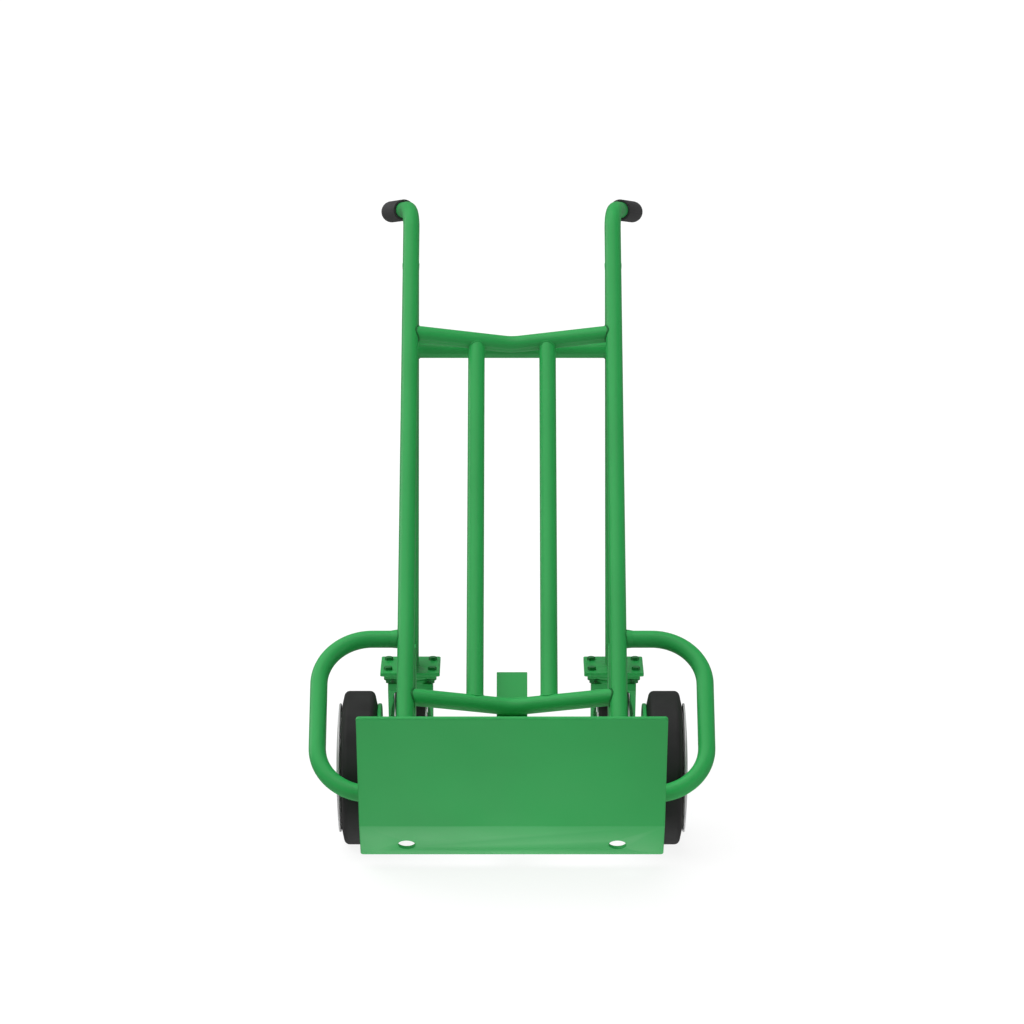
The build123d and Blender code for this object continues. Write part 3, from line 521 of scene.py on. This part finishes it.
# %% Sweep an outline round its axle
def turned_tree(sizes, corner_steps=5, turn_steps=120):
    tree, given, output = new_tree("turned piece", sizes)
    outline = add_node(tree, "GeometryNodeMeshToCurve", {"Mesh": given["Geometry"]})
    corner = add_node(tree, "GeometryNodeInputNamedAttribute", {"Name": "corner"},
                      data_type="FLOAT")
    rounded = add_node(tree, "GeometryNodeFilletCurve",
                       {"Curve": outline.outputs[0], "Count": corner_steps,
                        "Radius": corner.outputs[0], "Limit Radius": True}, mode="POLY")
    circle = add_node(tree, "GeometryNodeCurvePrimitiveCircle",
                      {"Resolution": turn_steps, "Radius": given["Circle"]})
    upright = add_node(tree, "GeometryNodeSetCurveNormal", {"Curve": circle.outputs[0]},
                       mode="Z_UP")
    inwards = vector(tree, X=maths(tree, "MULTIPLY", given["Circle"], -1.0))
    shifted = add_node(tree, "GeometryNodeTransform",
                       {"Geometry": rounded.outputs[0], "Translation": inwards})
    swept = add_node(tree, "GeometryNodeCurveToMesh",
                     {"Curve": upright.outputs[0], "Profile Curve": shifted.outputs[0]})
    axle = vector(tree, Y=given["Middle Y"], Z=given["Middle Z"])
    placed = add_node(tree, "GeometryNodeTransform",
                      {"Geometry": swept.outputs[0], "Rotation": (0, pi / 2, 0),
                       "Translation": axle})
    finish_tree(tree, placed.outputs[0], given["Finish"], output)
    return tree


# %% [markdown]
# The faces must point outwards, so a piece whose volume comes out negative is turned inside out.
# A Weighted Normal modifier then keeps the flat faces between the rounded corners flat.

# %% Turn the wheels
crown_round = 9.0 * mm


def turn_piece(node, corner):
    middle = sum(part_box(node), Vector()) / 2
    finish = finishes[slot_of[node]]
    outline = outline_above_axle(node, middle)
    crown = squared_crown(outline) if node.endswith("tyre") else []
    corner_radius = outline.verts.layers.float["corner"]
    for vert in outline.verts:
        vert[corner_radius] = crown_round if vert in crown else corner
    sizes = {"Circle": 50 * mm, "Middle Y": middle.y, "Middle Z": middle.z, "Finish": finish}
    draft = draft_piece(node, mesh_from(outline, node), finish)
    grow(draft, turned_tree(sizes), sizes)
    shell = bmesh.new()
    shell.from_mesh(kept_mesh(node, draft))
    bmesh.ops.remove_doubles(shell, verts=shell.verts, dist=same_point)
    if shell.calc_volume(signed=True) < 0:
        bmesh.ops.reverse_faces(shell, faces=shell.faces)
    even = draft_piece(node, mesh_from(shell, node), finish)
    even.modifiers.new("flat faces", "WEIGHTED_NORMAL").weight = 90
    piece = settle(f"{node}_turned", even, node)
    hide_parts(node)
    print(f"{piece.name}: {len(piece.data.polygons)} faces")


corner_of = {"tyre": 1.6 * mm, "rim": 0.9 * mm, "rim_cover": 0.8 * mm,
             "caster_wheel_core": 0.6 * mm, "caster_tread": 0.8 * mm}
for hand in hands:
    for part, corner in corner_of.items():
        turn_piece(f"{hand}_{part}", corner)

# %% [markdown]
# ## Rounded edges
# Sheared plate, forged forks and moulded rubber never have a knife edge, and the thin line of
# light along a rounded edge is what makes an edge look real. A Bevel modifier rounds every sharp
# corner. It works on a copy of the solid whose flat faces were dissolved back into single faces,
# and its hardened normals keep those faces flat. Where two edges meet at a very narrow angle a
# bevel can throw a corner far out, so any such point is laid back on the solid's own surface.

# %% Round the edges of a solid
def round_edges(node, width):
    flat_angle = radians(0.4)
    shell = merged_solid(node)
    bmesh.ops.dissolve_limit(shell, angle_limit=flat_angle, verts=shell.verts, edges=shell.edges)
    draft = draft_piece(node, mesh_from(shell, node), finishes[slot_of[node]])
    edge = draft.modifiers.new("rounded edges", "BEVEL")
    edge.width = width
    edge.segments = 3
    edge.limit_method = "ANGLE"
    edge.angle_limit = sharp_angle
    edge.use_clamp_overlap = False
    edge.loop_slide = False
    edge.harden_normals = True
    piece = settle(f"{node}_rounded", draft, node)
    surface = surface_of(node)
    strays = 0
    for vert in piece.data.vertices:
        nearest, normal, face, distance = surface.find_nearest(vert.co)
        if distance > width / 2:
            vert.co = nearest
            strays += 1
    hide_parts(node)
    print(f"{piece.name}: {len(piece.data.polygons)} faces, {strays} points laid back")


# %% Plates, forks, grips and nuts
round_edges("nose_plate", 1.2 * mm)
round_edges("centre_strap", 0.9 * mm)
edge_width = {"axle_bracket": 0.9 * mm, "side_brace": 0.9 * mm, "caster_mount_plate": 0.9 * mm,
              "caster_plate": 0.6 * mm, "caster_fork": 0.8 * mm, "grip": 1.0 * mm,
              "caster_axle_bolt": 0.5 * mm, "caster_axle_nut": 0.5 * mm, "kingpin_nut": 0.5 * mm}
for hand in hands:
    for part, width in edge_width.items():
        round_edges(f"{hand}_{part}", width)

# %% [markdown]
# ## Weld beads
# Every tube end is coped to the tube that it meets and welded all round, and the plates are welded
# along their edges. The seams are not drawn by hand: they are the sharp edges of a solid that lie
# against the solid that it is welded to. An edge inside a tube's bore doesn't count. It is known
# by a face next to it that looks at the far side of the bore.

# %% Find the seams
def sharp_edges_against(node, hosts, reach):
    """Ends of the sharp outer edges of a solid that lie within reach of its hosts."""
    shell = merged_solid(node)
    own, others = BVHTree.FromBMesh(shell), [surface_of(host) for host in hosts]
    off_face, across_bore = 0.1 * mm, 27 * mm
    found = []
    for edge in shell.edges:
        if len(edge.link_faces) != 2 or edge.calc_face_angle(0.0) < sharp_angle:
            continue
        start, end = [vert.co.copy() for vert in edge.verts]
        middle = (start + end) / 2
        if not any(other.find_nearest(middle, reach)[0] for other in others):
            continue
        ways = [face.normal for face in edge.link_faces]
        if not any(own.ray_cast(middle + way * off_face, way, across_bore)[0] for way in ways):
            found.append((start, end))
    shell.free()
    return found


# %% [markdown]
# In the photograph the welds of cross tubes and guards show as dark lines, the shade that falls
# into the crevices of these joints. Their beads get a darker coat, which paints this shade in. Most
# other welds look like the paint round them, and those between legs and rails hardly show, so their
# beads are the finest.

# %% Sort the seams by how they look
shaded_seams = {f"{level}_cross_tube": ["left_rail", "right_rail"] for level in ("upper", "lower")}
covered_seams = {"rear_cross_tube": ["left_rear_leg", "right_rear_leg"],
                 "centre_strap": ["nose_plate"]}
fine_seams = {}
for hand in hands:
    rail, leg, plate = f"{hand}_rail", f"{hand}_rear_leg", f"{hand}_caster_mount_plate"
    shaded_seams[f"{hand}_wheel_guard"] = [rail]
    covered_seams[f"{hand}_slat_tube"] = ["upper_cross_tube", "lower_cross_tube"]
    covered_seams[rail] = ["nose_plate"]
    covered_seams[leg] = [plate]
    covered_seams[f"{hand}_axle_bracket"] = [rail]
    covered_seams[f"{hand}_side_brace"] = [plate, leg]
    fine_seams[leg] = [rail]
for look, seams in (("shaded", shaded_seams), ("covered", covered_seams), ("fine", fine_seams)):
    print(f"{look} seams on {len(seams)} solids")

# %% [markdown]
# A Geometry Nodes tree turns the seams into curves and sweeps a small circle along them. The
# circle swells and shrinks along the way, like the ripples that a welder leaves.

# %% Sweep a bead along the seams
def bead_tree(sizes, ripple_depth=0.14):
    tree, given, output = new_tree("weld bead", sizes)
    path = add_node(tree, "GeometryNodeMeshToCurve", {"Mesh": given["Geometry"]})
    even = add_node(tree, "GeometryNodeResampleCurve",
                    {"Curve": path.outputs[0], "Length": given["Step"]}, mode="LENGTH")
    along_bead = add_node(tree, "GeometryNodeSplineParameter").outputs["Length"]
    turns = maths(tree, "DIVIDE", along_bead, given["Ripple"])
    wave = maths(tree, "SINE", maths(tree, "MULTIPLY", turns, tau))
    swell = maths(tree, "MULTIPLY_ADD", wave, ripple_depth, 1.0)
    ring = add_node(tree, "GeometryNodeCurvePrimitiveCircle",
                    {"Resolution": 8, "Radius": given["Bead"]})
    bead = add_node(tree, "GeometryNodeCurveToMesh",
                    {"Curve": even.outputs[0], "Profile Curve": ring.outputs[0], "Scale": swell,
                     "Fill Caps": True})
    finish_tree(tree, bead.outputs[0], given["Finish"], output)
    return tree


def lay_beads(name, welded_to, radius, finish):
    weld_gap = 0.9 * mm
    seams = [ends for node, hosts in welded_to.items()
             for ends in sharp_edges_against(node, hosts, weld_gap)]
    seam_shell = bmesh.new()
    for start, end in seams:
        seam_shell.edges.new((seam_shell.verts.new(start), seam_shell.verts.new(end)))
    bmesh.ops.remove_doubles(seam_shell, verts=seam_shell.verts, dist=same_point)
    sizes = {"Bead": radius, "Ripple": 3.2 * mm, "Step": 0.8 * mm, "Finish": finish}
    draft = draft_piece(name, mesh_from(seam_shell, name), finish)
    grow(draft, bead_tree(sizes), sizes)
    beads = settle(name, draft, next(iter(welded_to)))
    weld = sum((a - b).length for a, b in seams)
    print(f"{name}: {weld:.2f} m of weld, {len(beads.data.polygons)} faces")


# The shaded beads wear the darker coat, which is painted shade.
lay_beads("shaded_weld_beads", shaded_seams, 1.7 * mm, shaded_weld_coat)
lay_beads("covered_weld_beads", covered_seams, 1.2 * mm, finishes["green_paint"])
lay_beads("fine_weld_beads", fine_seams, 0.6 * mm, finishes["green_paint"])

# %% [markdown]
# ## Weld fillets of the guards
# Where a wheel guard meets its rail the weld is heavier, and the tube seems to flare out. The
# flare grows from the guard's own seam. Each point of the seam has to know two ways: straight out
# of the tube, and along the tube to the plane where the flare ends.

# %% Read the seams of a guard
def end_middles(guard, seams):
    """Middles of a guard's upper and lower end, from the boxes round its seams."""
    waist = sum(corner.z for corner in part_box(guard)) / 2
    points = [point for ends in seams for point in ends]
    upper, lower = [p for p in points if p.z > waist], [p for p in points if p.z <= waist]
    return [sum(box_round(half), Vector()) / 2 for half in (upper, lower)]


def guard_seams(hand, length):
    """Outer seams of a guard as a mesh of edges that knows the flare's two ways."""
    bore_radius, seam_reach = 13 * mm, 6 * mm
    guard, side = f"{hand}_wheel_guard", 1 if hand == "left" else -1
    seams = sharp_edges_against(guard, [f"{hand}_rail"], seam_reach)
    middles = end_middles(guard, seams)
    flare_end = max(end.x * side for ends in seams for end in ends) + length
    shell = bmesh.new()
    outward = shell.verts.layers.float_vector.new("outward")
    along_tube = shell.verts.layers.float_vector.new("along_tube")
    for ends in seams:
        arms = [end - min(middles, key=lambda m: (m - end).length) for end in ends]
        arms = [Vector((0, arm.y, arm.z)) for arm in arms]
        if min(arm.length for arm in arms) > bore_radius:
            points = [shell.verts.new(end) for end in ends]
            for point, arm in zip(points, arms):
                point[outward] = arm.normalized()
                point[along_tube] = Vector((flare_end * side - point.co.x, 0, 0))
            shell.edges.new(points)
    bmesh.ops.remove_doubles(shell, verts=shell.verts, dist=same_point)
    return shell


# %% [markdown]
# A tree lifts the seam off the tube and extrudes it step by step: down a soft slope to just inside
# the tube's wall, back along the wall, and up again to where it began, so the ring closes.

# %% Flare the ends of the guards
slope_steps = ((-0.12, 0.3), (-0.38, 0.25), (-0.4, 0.25), (-0.3, 0.2))
closing_steps = ((0, -1), (1.2, 0))


def fillet_tree(sizes):
    tree, given, output = new_tree("weld fillet", sizes)
    outward, along_tube = [
        add_node(tree, "GeometryNodeInputNamedAttribute", {"Name": name},
                 data_type="FLOAT_VECTOR").outputs[0] for name in ("outward", "along_tube")]

    def step(rise, run):
        """A move by shares of the fillet's height and of the way to its end."""
        out, along = [
            add_node(tree, "ShaderNodeVectorMath", {"Vector": way, "Scale": share},
                     operation="SCALE").outputs["Vector"]
            for way, share in ((outward, maths(tree, "MULTIPLY", given["Height"], rise)),
                               (along_tube, run))]
        return add_node(tree, "ShaderNodeVectorMath", {0: out, 1: along}).outputs[0]

    shape = add_node(tree, "GeometryNodeSetPosition",
                     {"Geometry": given["Geometry"], "Offset": step(1, 0)}).outputs[0]
    selection = {}
    for rise, run in slope_steps + closing_steps:
        grown = add_node(tree, "GeometryNodeExtrudeMesh",
                         {"Mesh": shape, "Offset": step(rise, run), **selection}, mode="EDGES")
        shape, selection = grown.outputs["Mesh"], {"Selection": grown.outputs["Top"]}
    closed = add_node(tree, "GeometryNodeMergeByDistance",
                      {"Geometry": shape, "Distance": 0.01 * mm})
    finish_tree(tree, closed.outputs[0], given["Finish"], output, crisp=radians(40))
    return tree


def flare_guard(hand, height, length):
    guard, finish = f"{hand}_wheel_guard", finishes["green_paint"]
    sizes = {"Height": height, "Finish": finish}
    draft = draft_piece(guard, mesh_from(guard_seams(hand, length), guard), finish)
    grow(draft, fillet_tree(sizes), sizes)
    ring = bmesh.new()
    ring.from_mesh(kept_mesh(guard, draft))
    bmesh.ops.recalc_face_normals(ring, faces=ring.faces)
    outside = draft_piece(guard, mesh_from(ring, guard), finish)
    piece = settle(f"{hand}_guard_weld_fillet", outside, guard)
    print(f"{piece.name}: {len(piece.data.polygons)} faces")


for hand in hands:
    flare_guard(hand, height=1.6 * mm, length=12.0 * mm)

# %% [markdown]
# ## Bolts and nuts of the casters
# Four hexagon bolts hold each caster to its plate. The solid bolts are one node and so are the
# solid nuts, so the first thing is to tell the separate bolts apart.

# %% Measure the separate bolts and nuts
def loose_boxes(node):
    """Corners of the boxes round the separate pieces of a solid."""
    shell = merged_solid(node)
    reached, boxes = set(), []
    for first in shell.verts:
        if first not in reached:
            reached.add(first)
            waiting, points = [first], []
            while waiting:
                vert = waiting.pop()
                points.append(vert.co.copy())
                fresh = {edge.other_vert(vert) for edge in vert.link_edges} - reached
                reached |= fresh
                waiting.extend(fresh)
            boxes.append(box_round(points))
    shell.free()
    return boxes


bolt_boxes, nut_boxes = loose_boxes("caster_bolts"), loose_boxes("caster_nuts")
plate_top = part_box("left_caster_mount_plate")[1].z
head_height = bolt_boxes[0][1].z - plate_top
bolt_length = plate_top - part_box("caster_bolts")[0].z
nut_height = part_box("caster_nuts")[1].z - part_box("caster_nuts")[0].z
flats = nut_boxes[0][1].y - nut_boxes[0][0].y
shank_radius = 7.94 / 2 * mm
print(f"{len(bolt_boxes)} bolts and {len(nut_boxes)} nuts, {flats / mm:.1f} mm across flats")

# %% [markdown]
# Each head and nut has the cone-shaped chamfer that takes the points off its corners. One tree
# makes a six-sided prism, cuts it with a wide cone and stands a copy on every point of a small
# mesh. A shank hangs below a bolt's head. Nuts come from the same tree with no shank.

# %% Make one fastener
def fastener_tree(sizes):
    """A chamfered hexagon on each point, with a round shank below it if that has a length."""
    tree, given, output = new_tree("hexagon fastener", sizes)
    slope, over = 3 ** 0.5, 1 * mm
    # Radii as shares of the width across flats.
    chamfer_radius, corner_radius = 0.47, 1 / 3 ** 0.5

    def scaled(*terms):
        """First term times the second, plus the third."""
        return maths(tree, "MULTIPLY_ADD", *terms)

    def lifted(shape, height):
        return add_node(tree, "GeometryNodeTransform",
                        {"Geometry": shape, "Translation": vector(tree, Z=height)}).outputs[0]

    prism = add_node(tree, "GeometryNodeMeshCylinder",
                     {"Vertices": 6, "Radius": scaled(given["Flats"], corner_radius, 0.0),
                      "Depth": given["Height"]})
    cone_foot = scaled(given["Flats"], chamfer_radius, over * slope)
    cone = add_node(tree, "GeometryNodeMeshCone",
                    {"Vertices": 48,
                     "Radius Top": scaled(given["Flats"], chamfer_radius, -over * slope),
                     "Radius Bottom": scaled(given["Height"], slope, cone_foot),
                     "Depth": scaled(given["Height"], 1.0, 2 * over)})
    head = add_node(tree, "GeometryNodeMeshBoolean", operation="INTERSECT")
    half_height = scaled(given["Height"], 0.5, 0.0)
    for shape in (lifted(prism.outputs[0], half_height), lifted(cone.outputs[0], -over)):
        tree.links.new(shape, head.inputs["Mesh 2"])
    shank = add_node(tree, "GeometryNodeMeshCylinder",
                     {"Vertices": 32, "Radius": given["Shank"], "Depth": given["Length"]})
    hung = lifted(shank.outputs[0], scaled(given["Length"], -0.5, 0.0))
    has_shank = add_node(tree, "FunctionNodeCompare", {0: given["Length"], 1: 0.0},
                         operation="GREATER_THAN")
    below = add_node(tree, "GeometryNodeSwitch", {"Switch": has_shank.outputs[0], "True": hung},
                     input_type="GEOMETRY")
    whole = add_node(tree, "GeometryNodeJoinGeometry")
    for part in (below, head):
        tree.links.new(part.outputs[0], whole.inputs[0])
    stand = add_node(tree, "GeometryNodeInstanceOnPoints",
                     {"Points": given["Geometry"], "Instance": whole.outputs[0],
                      "Rotation": vector(tree, X=given["Turn"])})
    finish_tree(tree, stand.outputs[0], given["Finish"], output, crisp=radians(25))
    return tree


# %% Stand the fasteners in place
def grow_fasteners(node, feet, height, length, turn):
    """Stands a fastener on each foot, in place of the solid ones."""
    # The fasteners wear the darker green, which paints in the shade on their heads and nuts.
    sizes = {"Flats": flats, "Height": height, "Shank": shank_radius, "Length": length,
             "Turn": turn, "Finish": shaded_bolt_coat}
    points = bmesh.new()
    for foot in feet:
        points.verts.new(foot)
    draft = draft_piece(node, mesh_from(points, node), shaded_bolt_coat)
    grow(draft, fastener_tree(sizes), sizes)
    piece = settle(f"{node}_chamfered", draft, node)
    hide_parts(node)
    print(f"{piece.name}: {len(piece.data.polygons)} faces")


def feet_at(boxes, height_in):
    """The point in the middle of each box, at a height that depends on the box."""
    return [((low.x + high.x) / 2, (low.y + high.y) / 2, height_in(low, high))
            for low, high in boxes]


heads_at = feet_at(bolt_boxes, lambda low, high: plate_top)
nuts_at = feet_at(nut_boxes, lambda low, high: high.z)
grow_fasteners("caster_bolts", heads_at, head_height, bolt_length, turn=0.0)
grow_fasteners("caster_nuts", nuts_at, nut_height, length=0.0, turn=pi)
